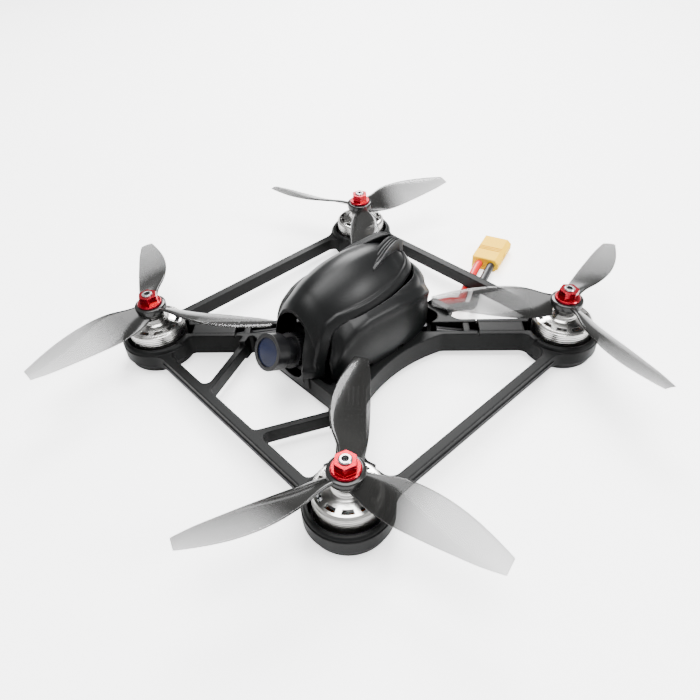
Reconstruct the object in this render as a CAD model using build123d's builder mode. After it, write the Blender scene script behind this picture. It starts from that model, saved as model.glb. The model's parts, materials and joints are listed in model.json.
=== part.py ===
"""Racing quadcopter: one-piece moulded ring frame, canopy, tilting camera and four outrunner motors.

Millimetres, +Z up, nose towards -Y, +X is the aircraft's left. The origin is on the ground,
midway between the four motor axes.
"""
import os
from math import cos, hypot, pi, radians, sin, sqrt, tan

from build123d import *

os.makedirs("parts", exist_ok=True)

# ---- driving dimensions -------------------------------------------------------------------
motor_pitch = 142.0          # side of the square on which the motor axes stand
prop_radius = 63.5           # 5 inch propeller
body_half_length = 40.0      # frame's centre body, nose wall to tail wall
body_waist = 29.5            # half width of the body at its narrowest
frame_bottom = 3.5           # underside of body and arms; the belly plate fills the rest
frame_top = 14.5             # top of body and arms
arm_half_width = 5.8
rail_bottom, rail_top = 5.2, 12.0
rail_inset, rail_width = 4.7, 4.3     # rail's inner face outside the motor axes; its width
rail_rib = 0.45              # moulding rib along the rails' outside
brace_width = 2.8
brace_foot, brace_head = 18.6, 35.5   # half spacing at the front rail and at the arms
pocket_half_width, pocket_floor, frame_wall = 24.0, 4.6, 3.0
fit_gap = 0.4                # between covers and what they close over
contact_gap = 0.05           # between round pieces that seat in each other

pod_radius, pod_wall, pod_floor, pod_rim = 18.2, 2.6, 3.0, 13.8
pod_base_radius = 15.4       # the pod's round underside

base_radius, base_thickness = 10.6, 2.4
screw_spacing = 12.0         # motor screws on a square
tube_radius, bearing_radius, bearing_width = 5.6, 4.5, 4.0
stator_radius, stator_bottom, stator_top = 10.7, 8.2, 14.6
air_gap = 0.35
tooth_count, tooth_width, winding_thickness = 12, 1.5, 0.7
magnet_count, magnet_width = 14, 4.2
bell_radius, bell_bottom, bell_rim, bell_top = 13.95, 7.2, 18.6, 20.2
bell_wall = 1.3
bell_spokes, spoke_width, slot_width = 10, 2.4, 1.9   # slots between spokes, near the rim
seat_radius, seat_top = 6.2, 24.0     # where the propeller's hub sits
axle_radius, stud_radius, stud_top = 2.0, 2.5, 37.0
running_clearance = 0.04

hub_top, hub_radius, hub_foot = 31.0, 7.5, 5.2
blade_count = 3
blade_height = 27.6
# along a blade: share of the propeller's radius, chord, pitch in degrees, set back, thickness
blade_stations = (
    (0.047, 9.0, 38.0, -0.4, 2.4),
    (0.157, 12.0, 36.0, -0.8, 2.0),
    (0.299, 16.2, 30.0, 0.3, 1.7),
    (0.504, 17.2, 22.0, 1.1, 1.4),
    (0.709, 14.8, 17.0, 0.7, 1.1),
    (0.882, 10.6, 14.0, -0.5, 0.9),
    (1.0, 6.4, 12.0, -1.3, 0.7),
)
nut_flange_radius, nut_flange = 5.9, 1.3
nut_across, nut_height = 8.0, 5.2

wall = 1.4                   # canopy and fairing skin
camera_tilt = 27.5           # lens points this much above level
camera_size, camera_depth = 19.0, 15.0
camera_pivot = (0.0, 12.3 - body_half_length, 18.1)
cradle_thickness, cradle_gap, cradle_brim = 1.6, 0.3, 5.0
cradle_front, cradle_rear = 7.3, 9.7  # side plates' reach from the pivot
pivot_radius, pivot_depth = 1.0, 3.5
pivot_head_radius, pivot_head, pivot_hex, pivot_head_gap = 1.7, 0.9, 0.75, 0.35
lens_radius, lens_front_radius, lens_length = 6.0, 8.4, 28.3
ring_radius, ring_back, ring_front = 8.2, 12.0, 15.5
lens_front_start, glass_radius, glass_seat, glass_recess = 22.0, 6.6, 1.6, 0.7
lens_seat, lens_grip, grip_count = 3.5, 1.6, 36   # barrel's depth in the box, socket's wall, ridges
nose_slot_half_width, nose_slot_low, nose_slot_high = 9.4, 11.2, 44.8
channel_width, channel_floor = 7.2, 4.6   # the motors' leads run along the arms in it
cover_start, seam_width = 60.0, 0.6
board_side, board_thickness, board_holes = 36.0, 1.6, 30.5
stack_center = 8.0           # y of the electronics stack
board_level = (9.6, 16.0, 22.0)   # underside of power board, flight controller, video transmitter
motor_lead_radius, motor_lead_high, motor_lead_low = 0.95, 12.0, 5.6
chip_height, receiver_size = 1.4, (17.0, 11.0, 2.2)
spacer_radius, nut_thickness, thread_proud = 2.6, 2.2, 0.8
capacitor_radius, capacitor_length = 5.0, 18.0
clip_length, clip_thickness, clip_setback = 3.0, 2.0, 7.0

# Free battery leads, from the grommet in the tail to the plug on the ground. Each goes through
# points (x, y, z): y is first past the tail wall, and then past the rear rail's inner face.
lead_diameter = 4.5
red_points = (
    ((15.5, 4.0, 13.5), (17.0, 11.0, 12.4), (17.4, 20.0, 7.2)),
    ((12.8, -7.2, 2.4), (7.6, 1.8, 2.4), (4.0, 11.3, 2.5), (0.8, 19.3, 4.05), (-1.3, 25.25, 4.05)),
)
black_points = (
    ((22.2, 4.0, 13.5), (24.2, 11.5, 12.3), (24.4, 21.5, 6.9)),
    ((19.4, -5.2, 2.4), (14.2, 3.8, 2.4), (10.6, 13.3, 2.5), (7.6, 21.7, 4.05), (5.5, 27.65, 4.05)),
)
plug_length, plug_width, plug_height = 26.0, 16.0, 8.0
plug_corner, plug_cavity_depth, plug_wall = 2.4, 9.5, 1.3
grip_rings, grip_depth = (0.38, 0.44, 0.50), 0.4   # rings round the plug, as shares of its length
contact_radius, contact_seat = 1.75, 4.0

belly_length, belly_width = 74.0, 46.0
belly_screw_grid = (36.0, 62.0)
strap_slot_length, strap_slot_width, strap_slot_spacing, strap_thickness = 22.0, 3.4, 36.0, 1.6
screw_radius, screw_head_radius, head_recess = 1.5, 2.9, 0.3
cover_thickness = 1.4

# canopy and lower shell: stations along the body as (y, half width, crest height), y as a
# share of the body's half length
canopy_stations = (
    (-1.05, 9.6, 33.0),
    (-0.995, 12.0, 40.0),
    (-0.90, 14.4, 45.6),
    (-0.70, 17.6, 51.4),
    (-0.35, 20.2, 56.6),
    (0.075, 20.6, 58.0),
    (0.425, 19.0, 55.0),
    (0.675, 15.0, 48.0),
    (0.8125, 10.0, 38.0),
)
shell_stations = (
    (-0.825, 20.0, 32.0),
    (-0.725, 22.8, 38.0),
    (-0.525, 25.4, 43.0),
    (-0.15, 26.4, 46.5),
    (0.275, 26.4, 47.0),
    (0.60, 23.6, 43.0),
    (0.775, 19.4, 36.5),
    (0.875, 14.5, 29.0),
)
chin_bottom = 7.7
vent_side = ((0.21, 50.0), (0.45, 58.0), (0.71, 55.0), (0.79, 43.5))   # tail vent, (share, z)
vent_half_width, vent_slot = 5.0, 1.5
parting_rear, parting_front, parting_throat = (0.75, 44.5), (-0.675, 41.0), (-0.8375, 24.0)
shell_notches = (-0.4, 0.1)
antenna_height, antenna_radius, antenna_flange, antenna_thread = 22.5, 3.1, 1.6, 9.0

# ---- places worked out from them ----------------------------------------------------------
half = motor_pitch / 2
rail_in = half + rail_inset
rail_out = rail_in + rail_width
red_route, black_route = (
    [(x, body_half_length + y, z) for x, y, z in near] + [(x, rail_in + y, z) for x, y, z in far]
    for near, far in (red_points, black_points)
)
arm_shift = arm_half_width * sqrt(2)
pod_bore = pod_radius - pod_wall
motors = {
    "front_right": (-half, -half),
    "front_left": (half, -half),
    "rear_right": (-half, half),
    "rear_left": (half, half),
}
blade_angle = {"front_right": 32.4, "front_left": 12.65, "rear_right": 79.2, "rear_left": 100.6}
clockwise = ("front_right", "rear_left")


def save(solid, name):
    """Label a finished sub-part and write its STEP file."""
    solid.label = name
    export_step(solid, f"parts/{name}.step")


# ---- frame --------------------------------------------------------------------------------
# The plan is the ring of rails and pods, less a window on each side between the arms.
with BuildSketch() as side_windows:
    waist_x = body_waist + 4.5
    with BuildLine():
        Polyline(
            (waist_x, waist_x - arm_shift),
            (rail_in, rail_in - arm_shift),
            (rail_in, arm_shift - rail_in),
            (waist_x, arm_shift - waist_x),
        )
        ThreePointArc((waist_x, arm_shift - waist_x), (body_waist, 0), (waist_x, waist_x - arm_shift))
    make_face()
    with Locations(*motors.values()):
        Circle(pod_radius, mode=Mode.SUBTRACT)
    fillet(side_windows.vertices(), 5.0)
    mirror(about=Plane.YZ)

window_corner = body_half_length - arm_shift
with BuildSketch() as rear_window:
    Polygon(
        (window_corner, body_half_length),
        (rail_in - arm_shift, rail_in),
        (arm_shift - rail_in, rail_in),
        (-window_corner, body_half_length),
        align=None,
    )
    with Locations(*motors.values()):
        Circle(pod_radius, mode=Mode.SUBTRACT)
    fillet(rear_window.vertices(), 6.0)

brace_lean = (brace_head - brace_foot) / (rail_in - body_half_length)
brace_reach = brace_width / 2 * hypot(1, brace_lean)
with BuildSketch() as front_windows:
    Polygon(
        (window_corner, -body_half_length),
        (-window_corner, -body_half_length),
        (arm_shift - rail_in, -rail_in),
        (rail_in - arm_shift, -rail_in),
        align=None,
    )
    for side in (-1, 1):
        Polygon(
            (side * (brace_foot - brace_reach - brace_lean), -rail_in - 1),
            (side * (brace_foot + brace_reach - brace_lean), -rail_in - 1),
            (side * (brace_head + brace_reach + brace_lean), 1 - body_half_length),
            (side * (brace_head - brace_reach + brace_lean), 1 - body_half_length),
            align=None,
            mode=Mode.SUBTRACT,
        )
    with Locations(*motors.values()):
        Circle(pod_radius, mode=Mode.SUBTRACT)
    at_the_rail = front_windows.vertices().filter_by(lambda v: v.Y < -(half + body_half_length) / 2)
    fillet(at_the_rail, 3.0)
    at_the_body = front_windows.vertices().filter_by(lambda v: v.Y > -(body_half_length + 5))
    fillet(at_the_body, 1.0)

with BuildSketch() as outline:
    Rectangle(2 * rail_out, 2 * rail_out)
    with Locations(*motors.values()):
        Circle(pod_radius)
    fillet(outline.vertices().filter_by(lambda v: max(abs(v.X), abs(v.Y)) < rail_out + 0.01), 9.0)

with BuildSketch() as plan:
    add(outline.sketch)
    add(side_windows.sketch, mode=Mode.SUBTRACT)
    add(rear_window.sketch, mode=Mode.SUBTRACT)
    add(front_windows.sketch, mode=Mode.SUBTRACT)

# Arms and body stand taller than the rails and braces.
with BuildSketch() as tall_plan:
    add(plan.sketch)
    with BuildSketch(mode=Mode.INTERSECT):
        for turn in (45, 135):
            Rectangle(motor_pitch * sqrt(2), 2 * arm_half_width + 9, rotation=turn)
        Rectangle(2 * body_waist + 8, 2 * body_half_length)

with BuildPart() as frame:
    with BuildSketch(Plane.XY.offset(rail_bottom)):
        add(plan.sketch)
    extrude(amount=rail_top - rail_bottom)
    with BuildSketch(Plane.XY.offset(frame_bottom)):
        add(tall_plan.sketch)
    extrude(amount=frame_top - frame_bottom)
    # moulding rib round the outside of the rails
    with BuildSketch(Plane.XY.offset(rail_bottom + 2.6)):
        Rectangle(2 * (rail_out + rail_rib), motor_pitch - 2 * pod_radius)
        Rectangle(motor_pitch - 2 * pod_radius, 2 * (rail_out + rail_rib))
        Rectangle(2 * rail_out - 2, 2 * rail_out - 2, mode=Mode.SUBTRACT)
    extrude(amount=1.0)
    # motor pods: round cups with a rolled underside and two steps round the outside
    for x, y in motors.values():
        with BuildSketch(Plane.XZ.offset(-y)) as pod_profile:
            with BuildLine():
                Polyline(
                    (x, 0),
                    (x + pod_base_radius - 2, 0),
                    (x + pod_base_radius + 1.2, 1.2),
                    (x + pod_radius - 1.0, 3.6),
                    (x + pod_radius - 0.35, 5.4),
                    (x + pod_radius, 5.8),
                    (x + pod_radius, 8.6),
                    (x + pod_radius - 0.45, 9.0),
                    (x + pod_radius - 0.45, pod_rim - 1.0),
                    (x + pod_radius - 1.2, pod_rim),
                    (x, pod_rim),
                    close=True,
                )
            make_face()
        revolve(axis=Axis((x, y, 0), (0, 0, 1)))
    for x, y in motors.values():
        with BuildSketch(Plane.XY.offset(pod_floor)):
            with Locations((x, y)):
                Circle(pod_bore)
        extrude(amount=frame_top, mode=Mode.SUBTRACT)
        # counterbored screw holes in the pod's floor, from below
        with Locations(Plane((x, y, 0), z_dir=(0, 0, -1))):
            with GridLocations(screw_spacing, screw_spacing, 2, 2):
                CounterBoreHole(screw_radius + contact_gap, screw_head_radius + contact_gap, 1.7, pod_floor)
    # electronics pocket, open at the top under the canopy
    with BuildSketch(Plane.XY.offset(pocket_floor)):
        RectangleRounded(2 * pocket_half_width, 2 * (body_half_length - frame_wall), 5.0)
    extrude(amount=frame_top, mode=Mode.SUBTRACT)
    # notch in the nose wall, below the lens
    with BuildSketch(Plane.XY.offset(nose_slot_low - 2)):
        with Locations((0, -body_half_length)):
            Rectangle(2 * nose_slot_half_width + 2, 3 * frame_wall)
    extrude(amount=frame_top, mode=Mode.SUBTRACT)
    # channel for the leads along each arm, with a seam where its cover starts
    with BuildSketch(Plane.XY.offset(channel_floor)):
        for turn in (45, 135):
            Rectangle(2 * (hypot(half, half) - pod_bore + 1), channel_width, rotation=turn)
    extrude(amount=frame_top, mode=Mode.SUBTRACT)
    with BuildSketch(Plane.XY.offset(frame_top - 1.0)):
        with PolarLocations(cover_start, 4, start_angle=45):
            Rectangle(seam_width, 3 * arm_half_width)
    extrude(amount=2.0, mode=Mode.SUBTRACT)
    # holes for the belly screws
    with Locations((0, 0, frame_bottom)):
        with GridLocations(*belly_screw_grid, 2, 2):
            Hole(screw_radius, depth=6 * screw_radius)
save(frame.part, "frame")

with BuildPart() as arm_covers:
    cover_length = hypot(half, half) - pod_radius - cover_start - seam_width
    for turn in (45, 135, 225, 315):
        with BuildSketch(Plane.XY.offset(frame_top - cover_thickness)):
            with PolarLocations(cover_start + seam_width + cover_length / 2, 1, start_angle=turn):
                Rectangle(cover_length, channel_width)
        extrude(amount=cover_thickness)
save(arm_covers.part, "arm_covers")

# ---- belly plate: rests on the ground and carries the battery strap -----------------------
with BuildPart() as belly_plate:
    with BuildSketch():
        RectangleRounded(belly_width, belly_length, 6.0)
    extrude(amount=frame_bottom)
    chamfer(belly_plate.faces().sort_by(Axis.Z)[0].edges(), 0.6)
    # two slots for the battery strap, and the strap's way between them over the plate
    with BuildSketch():
        with Locations((-strap_slot_spacing / 2, 0), (strap_slot_spacing / 2, 0)):
            Rectangle(strap_slot_width, strap_slot_length)
    extrude(amount=frame_bottom, mode=Mode.SUBTRACT)
    with BuildSketch(Plane.XY.offset(frame_bottom - strap_thickness)):
        Rectangle(strap_slot_spacing, strap_slot_length)
    extrude(amount=strap_thickness, mode=Mode.SUBTRACT)
    with Locations(Plane.XY.rotated((180, 0, 0))):
        with GridLocations(*belly_screw_grid, 2, 2):
            CounterSinkHole(screw_radius + contact_gap, screw_head_radius + contact_gap, frame_bottom)
save(belly_plate.part, "belly_plate")

with BuildPart() as belly_screws:
    for spot in GridLocations(*belly_screw_grid, 2, 2):
        x, y = spot.position.X, spot.position.Y
        head_depth = screw_head_radius - screw_radius
        with BuildSketch(Plane.XZ.offset(-y)):
            with BuildLine():
                Polyline(
                    (x, head_recess),
                    (x + screw_head_radius - head_recess, head_recess),
                    (x + screw_radius, head_depth),
                    (x + screw_radius, frame_bottom + 5),
                    (x, frame_bottom + 5),
                    close=True,
                )
            make_face()
        revolve(axis=Axis((x, y, 0), (0, 0, 1)))
save(belly_screws.part, "belly_screws")


# ---- canopy and lower shell ---------------------------------------------------------------
def arch_loft(stations, base, side, shoulder, inset=0.0, front_wall=True):
    """Solid lofted along Y through arches: upright sides, a shoulder and a round crest.

    An inset one is smaller by a wall on every side, and open below, and in front if told so.
    """
    last = len(stations) - 1
    low = base - 2 * inset
    with BuildPart() as solid:
        for index, (share, half_width, crest) in enumerate(stations):
            y = share * body_half_length
            if index == 0:
                y += inset if front_wall else -inset
            if index == last:
                y -= inset
            width, rise = half_width - inset, crest - inset - low
            right = [(width, low), (0.99 * width, low + side * rise), (0.88 * width, low + shoulder * rise)]
            left = [(-x, z) for x, z in reversed(right)]
            with BuildSketch(Plane.XZ.offset(-y)):
                with BuildLine():
                    Spline(*right, (0, crest - inset), *left, tangents=((0, 1), (0, -1)))
                    Line(left[-1], right[0])
                make_face()
        loft()
    return solid.part


canopy_sides = (0.55, 0.80)
shell_sides = (0.45, 0.78)
canopy_outer = arch_loft(canopy_stations, chin_bottom, *canopy_sides)
canopy_inner = arch_loft(canopy_stations, chin_bottom, *canopy_sides, inset=wall)
shell_outer = arch_loft(shell_stations, frame_top, *shell_sides)
shell_inner = arch_loft(shell_stations, frame_top, *shell_sides, inset=wall, front_wall=False)

# The two meet along one line in side view: level along the flank, then down to the chin.
with BuildSketch(Plane.YZ) as upper_side:
    with BuildLine():
        front, rear, above = -body_half_length - 20, body_half_length + 20, 100
        throat = parting_throat[0] * body_half_length
        FilletPolyline(
            (rear, parting_rear[1]),
            (parting_front[0] * body_half_length, parting_front[1]),
            (throat, parting_throat[1]),
            (throat - 1.0, frame_top + fit_gap),
            (-body_half_length - fit_gap, frame_top + fit_gap),
            (-body_half_length - fit_gap, 0),
            (front, 0),
            radius=(9.0, 6.0, 0.5, 0.5, 0.5),
        )
        Polyline((front, 0), (front, above), (rear, above), (rear, parting_rear[1]))
    make_face()

with BuildPart() as canopy:
    add(canopy_outer)
    add(canopy_inner, mode=Mode.SUBTRACT)
    with BuildSketch(Plane.YZ):
        add(upper_side.sketch_local)
    extrude(amount=body_waist, both=True, mode=Mode.INTERSECT)
    # nose slot for the lens
    with BuildSketch(Plane.XZ.offset(body_half_length - 10)):
        with Locations((0, (nose_slot_low + nose_slot_high) / 2)):
            SlotOverall(nose_slot_high - nose_slot_low, 2 * nose_slot_half_width, rotation=90)
    extrude(amount=20, mode=Mode.SUBTRACT)
save(canopy.part, "canopy")

with BuildPart() as lower_shell:
    add(shell_outer)
    add(shell_inner, mode=Mode.SUBTRACT)
    with BuildSketch(Plane.YZ):
        add(upper_side.sketch_local)
        offset(amount=fit_gap)
    extrude(amount=2 * body_waist, both=True, mode=Mode.SUBTRACT)
    # notches along the bottom edge, where tabs of the frame come through
    with BuildSketch(Plane.YZ):
        with Locations(*[(share * body_half_length, frame_top) for share in shell_notches]):
            Rectangle(4.0, 4.0)
    extrude(amount=2 * body_waist, both=True, mode=Mode.SUBTRACT)
    # antenna connector's hole in the tail
    with BuildSketch(Plane.XZ.offset(-body_half_length)):
        with Locations((0, antenna_height)):
            Circle(antenna_radius + fit_gap)
    extrude(amount=12, mode=Mode.SUBTRACT)
save(lower_shell.part, "lower_shell")

with BuildPart() as tail_vent:
    # wedge with three slots, standing on the canopy's crest
    with BuildSketch(Plane.YZ):
        Polygon(*[(share * body_half_length, z) for share, z in vent_side], align=None)
    extrude(amount=vent_half_width, both=True)
    add(canopy_outer, mode=Mode.SUBTRACT)
    with BuildSketch(Plane.XY.offset(vent_side[0][1])):
        slot_start, slot_end = vent_side[1][0] * body_half_length, vent_side[2][0] * body_half_length
        with Locations((0, (slot_start + slot_end) / 2)):
            with GridLocations(2 * vent_slot, 1, 3, 1):
                Rectangle(vent_slot, slot_end - slot_start)
    extrude(amount=20, mode=Mode.SUBTRACT)
save(tail_vent.part, "tail_vent")

# ---- camera -------------------------------------------------------------------------------
# The camera's own plane: origin on its tilt pivot, local Z along the lens.
tilt = radians(camera_tilt)
lens_plane = Plane(origin=camera_pivot, x_dir=(1, 0, 0), z_dir=(0, -cos(tilt), sin(tilt)))
box_back, box_front = -camera_depth / 2, camera_depth / 2
plate_inside = camera_size / 2 + cradle_gap

with BuildPart() as camera_housing:
    with BuildSketch(lens_plane.offset(box_back)):
        RectangleRounded(camera_size, camera_size, 1.5)
    extrude(amount=camera_depth)
    chamfer(camera_housing.faces().sort_by(SortBy.DISTANCE)[-1].edges(), 0.3)
    with BuildSketch(lens_plane.offset(box_front)):
        Circle(lens_radius + lens_grip)
    extrude(amount=ring_back - box_front - cradle_gap)
    with BuildSketch(lens_plane.offset(box_front - lens_seat - fit_gap)):
        Circle(lens_radius + running_clearance)
    extrude(amount=ring_back, mode=Mode.SUBTRACT)
    # threaded holes for the pivot screws
    for side in (-1, 1):
        with BuildSketch(Plane.YZ.offset(side * (camera_size / 2 - pivot_depth - fit_gap))):
            with Locations(camera_pivot[1:]):
                Circle(pivot_radius)
        extrude(amount=side * camera_size, mode=Mode.SUBTRACT)
save(camera_housing.part, "camera_housing")

with BuildPart() as camera_board:
    with BuildSketch(lens_plane.offset(box_back - board_thickness)):
        RectangleRounded(camera_size - 1, camera_size - 1, 1.0)
    extrude(amount=board_thickness)
save(camera_board.part, "camera_board")

with BuildPart() as lens_barrel:
    with BuildSketch(lens_plane.offset(box_front - lens_seat)):
        Circle(lens_radius)
    extrude(amount=lens_front_start - box_front + lens_seat)
    with BuildSketch(lens_plane.offset(lens_front_start - 2.0)):
        Circle(lens_radius)
    with BuildSketch(lens_plane.offset(lens_front_start)):
        Circle(lens_front_radius)
    loft()
    with BuildSketch(lens_plane.offset(lens_front_start)):
        Circle(lens_front_radius)
    extrude(amount=lens_length - lens_front_start)
    # seat for the front glass
    with BuildSketch(lens_plane.offset(lens_length - glass_seat)):
        Circle(glass_radius)
    extrude(amount=glass_seat, mode=Mode.SUBTRACT)
save(lens_barrel.part, "lens_barrel")

with BuildPart() as lens_glass:
    with BuildSketch(lens_plane.offset(lens_length - glass_seat)):
        Circle(glass_radius - contact_gap)
    extrude(amount=glass_seat - glass_recess)
save(lens_glass.part, "lens_glass")

with BuildPart() as lens_lock_ring:
    with BuildSketch(lens_plane.offset(ring_back)):
        Circle(ring_radius)
        Circle(lens_radius + running_clearance, mode=Mode.SUBTRACT)
        with PolarLocations(ring_radius, grip_count):
            Rectangle(0.5, 0.7, mode=Mode.SUBTRACT)
    extrude(amount=ring_front - ring_back)
save(lens_lock_ring.part, "lens_lock_ring")

with BuildPart() as camera_cradle:
    front_edge, rear_edge = camera_pivot[1] - cradle_front, camera_pivot[1] + cradle_rear
    plate_top = camera_pivot[2] + cradle_brim
    plate_middle = ((front_edge + rear_edge) / 2, (pocket_floor + plate_top) / 2)
    for side in (-1, 1):
        with BuildSketch(Plane.YZ.offset(side * plate_inside)):
            with Locations(plate_middle):
                RectangleRounded(rear_edge - front_edge, plate_top - pocket_floor, 1.2)
            with Locations(camera_pivot[1:]):
                Circle(pivot_radius + running_clearance, mode=Mode.SUBTRACT)
        extrude(amount=side * cradle_thickness)
    # two bars join the side plates along the pocket's floor
    for edge in (front_edge + 1.2, rear_edge - 1.2):
        with Locations((0, edge, pocket_floor + cradle_thickness / 2)):
            Box(2 * plate_inside + contact_gap, cradle_thickness, cradle_thickness)
save(camera_cradle.part, "camera_cradle")

with BuildPart() as camera_pivot_screws:
    inner_end = camera_size / 2 - pivot_depth
    head_start = plate_inside + cradle_thickness + pivot_head_gap
    for side in (-1, 1):
        with BuildSketch(Plane.YZ.offset(side * inner_end)):
            with Locations(camera_pivot[1:]):
                Circle(pivot_radius)
        extrude(amount=side * (head_start - inner_end))
        with BuildSketch(Plane.YZ.offset(side * head_start)):
            with Locations(camera_pivot[1:]):
                Circle(pivot_head_radius)
                RegularPolygon(pivot_hex, 6, mode=Mode.SUBTRACT)
        extrude(amount=side * pivot_head)
save(camera_pivot_screws.part, "camera_pivot_screws")

# ---- electronics --------------------------------------------------------------------------
stack_spots = GridLocations(board_holes, board_holes, 2, 2)
stack_origin = Plane((0, stack_center, 0))


def circuit_board(bottom, blocks):
    """Square board with four mounting holes and chips given as (x, y, width, length, height)."""
    with BuildPart() as board:
        with BuildSketch(stack_origin.offset(bottom)):
            RectangleRounded(board_side, board_side, 2.0)
            with GridLocations(board_holes, board_holes, 2, 2):
                Circle(screw_radius + contact_gap, mode=Mode.SUBTRACT)
        extrude(amount=board_thickness)
        for x, y, width, length, height in blocks:
            with BuildSketch(stack_origin.offset(bottom + board_thickness)):
                with Locations((x, y)):
                    Rectangle(width, length)
            extrude(amount=height)
    return board.part


power_board = circuit_board(board_level[0], [(x, y, 5, 5, 1.0) for x in (-10, -4, 4, 10) for y in (-8, 8)])
flight_controller = circuit_board(
    board_level[1], [(0, 0, 9, 9, chip_height), (10, 10, 4, 4, 1.0), (-11, -11, 5, 3, 1.2)]
)
video_transmitter = circuit_board(board_level[2], [(0, 2, 16, 14, 2.2), (0, 14.5, 7, 6, 2.4)])
save(power_board, "power_board")
save(flight_controller, "flight_controller")
save(video_transmitter, "video_transmitter")

with BuildPart() as stack_spacers:
    levels = [pocket_floor] + [level + board_thickness for level in board_level[:2]]
    for low, high in zip(levels, board_level):
        with BuildSketch(stack_origin.offset(low)):
            with GridLocations(board_holes, board_holes, 2, 2):
                Circle(spacer_radius)
                Circle(screw_radius + contact_gap, mode=Mode.SUBTRACT)
        extrude(amount=high - low)
save(stack_spacers.part, "stack_spacers")

with BuildPart() as stack_screws:
    with BuildSketch(stack_origin.offset(pocket_floor)):
        with GridLocations(board_holes, board_holes, 2, 2):
            Circle(screw_radius)
    extrude(amount=board_level[2] + board_thickness + nut_thickness + thread_proud - pocket_floor)
save(stack_screws.part, "stack_screws")

with BuildPart() as stack_nuts:
    with BuildSketch(stack_origin.offset(board_level[2] + board_thickness)):
        with GridLocations(board_holes, board_holes, 2, 2):
            RegularPolygon(2.75, 6, major_radius=False)
            Circle(screw_radius + contact_gap, mode=Mode.SUBTRACT)
    extrude(amount=nut_thickness)
save(stack_nuts.part, "stack_nuts")

with BuildPart() as radio_receiver:
    chip_top = board_level[1] + board_thickness + chip_height
    with Locations((0, stack_center - 2, chip_top + receiver_size[2] / 2)):
        Box(*receiver_size)
save(radio_receiver.part, "radio_receiver")

with BuildPart() as power_capacitor:
    with BuildSketch(Plane.YZ.offset(-capacitor_length / 2)):
        tail = body_half_length - frame_wall - 0.2
        with Locations((tail - capacitor_radius, pocket_floor + capacitor_radius)):
            Circle(capacitor_radius)
    extrude(amount=capacitor_length)
    fillet(power_capacitor.edges().filter_by(GeomType.CIRCLE), 0.6)
save(power_capacitor.part, "power_capacitor")

# coaxial connector: a stem from the board's edge, a flange behind the shell's tail, the thread
antenna_start = stack_center + board_side / 2
flange_start = shell_stations[-1][0] * body_half_length + 0.1
thread_start = flange_start + antenna_flange
with BuildPart() as antenna_connector:
    for start, end, radius in (
        (antenna_start, flange_start, antenna_radius - 0.6),
        (flange_start, thread_start, antenna_radius + 1.2),
        (thread_start, thread_start + antenna_thread, antenna_radius),
    ):
        with BuildSketch(Plane.XZ.offset(-start)):
            with Locations((0, antenna_height)):
                Circle(radius)
        extrude(amount=start - end)
    with BuildSketch(Plane.XZ.offset(-thread_start - antenna_thread)):
        with Locations((0, antenna_height)):
            Circle(1.9)
    extrude(amount=5.0, mode=Mode.SUBTRACT)
    with BuildSketch(Plane.XZ.offset(-thread_start - antenna_thread + 1.5)):
        with Locations((0, antenna_height)):
            Circle(0.5)
    extrude(amount=4.5)
save(antenna_connector.part, "antenna_connector")

# ---- motors -------------------------------------------------------------------------------
base_top = pod_floor + base_thickness
plate_thickness = bell_top - bell_rim
bell_bore = bell_radius - bell_wall
tube_top = stator_top + 1.4

with BuildPart() as motor_base:
    with BuildSketch(Plane.XY.offset(pod_floor)):
        Circle(base_radius)
        with GridLocations(screw_spacing, screw_spacing, 2, 2):
            Circle(screw_radius + contact_gap, mode=Mode.SUBTRACT)
    extrude(amount=base_thickness)
    with BuildSketch(Plane.XY.offset(pod_floor)):
        Circle(tube_radius)
    extrude(amount=tube_top - pod_floor)
    with BuildSketch(Plane.XY.offset(pod_floor)):
        Circle(bearing_radius)
    extrude(amount=tube_top, mode=Mode.SUBTRACT)

with BuildPart() as bearings:
    for low in (pod_floor + 0.4, tube_top - bearing_width):
        with BuildSketch(Plane.XY.offset(low)):
            Circle(bearing_radius - contact_gap / 2)
            Circle(axle_radius + running_clearance, mode=Mode.SUBTRACT)
        extrude(amount=bearing_width)

with BuildPart() as motor_screws:
    with BuildSketch(Plane.XY.offset(0.2)):
        with GridLocations(screw_spacing, screw_spacing, 2, 2):
            Circle(screw_head_radius)
            RegularPolygon(1.15, 6, mode=Mode.SUBTRACT)
    extrude(amount=1.4)
    with BuildSketch(Plane.XY.offset(1.0)):
        with GridLocations(screw_spacing, screw_spacing, 2, 2):
            Circle(screw_radius)
    extrude(amount=base_top - 1.2)

core_radius = tube_radius + contact_gap
with BuildPart() as stator:
    with BuildSketch(Plane.XY.offset(stator_bottom)):
        Circle(stator_radius)
        Circle(stator_radius - 0.9, mode=Mode.SUBTRACT)
        with PolarLocations(stator_radius, tooth_count, start_angle=180 / tooth_count):
            Rectangle(4.0, 1.2, mode=Mode.SUBTRACT)
        Circle(core_radius + 1.3)
        with PolarLocations((core_radius + stator_radius) / 2, tooth_count):
            Rectangle(stator_radius - core_radius - 1.0, tooth_width)
        Circle(core_radius, mode=Mode.SUBTRACT)
    extrude(amount=stator_top - stator_bottom)

with BuildPart() as windings:
    inner, outer = core_radius + 1.5, stator_radius - 1.1
    with BuildSketch(Plane.XY.offset(stator_bottom - winding_thickness)):
        with PolarLocations((inner + outer) / 2, tooth_count):
            Rectangle(outer - inner, tooth_width + 2 * winding_thickness)
    extrude(amount=stator_top - stator_bottom + 2 * winding_thickness)
    with BuildSketch(Plane.XY.offset(stator_bottom)):
        with PolarLocations((inner + outer) / 2, tooth_count):
            Rectangle(outer - inner + 1, tooth_width)
    extrude(amount=stator_top - stator_bottom, mode=Mode.SUBTRACT)
    # end turns that join the coils
    with BuildSketch(Plane.XY.offset(stator_bottom - winding_thickness)):
        Circle(inner + 1.2)
        Circle(inner, mode=Mode.SUBTRACT)
    extrude(amount=winding_thickness)

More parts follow.
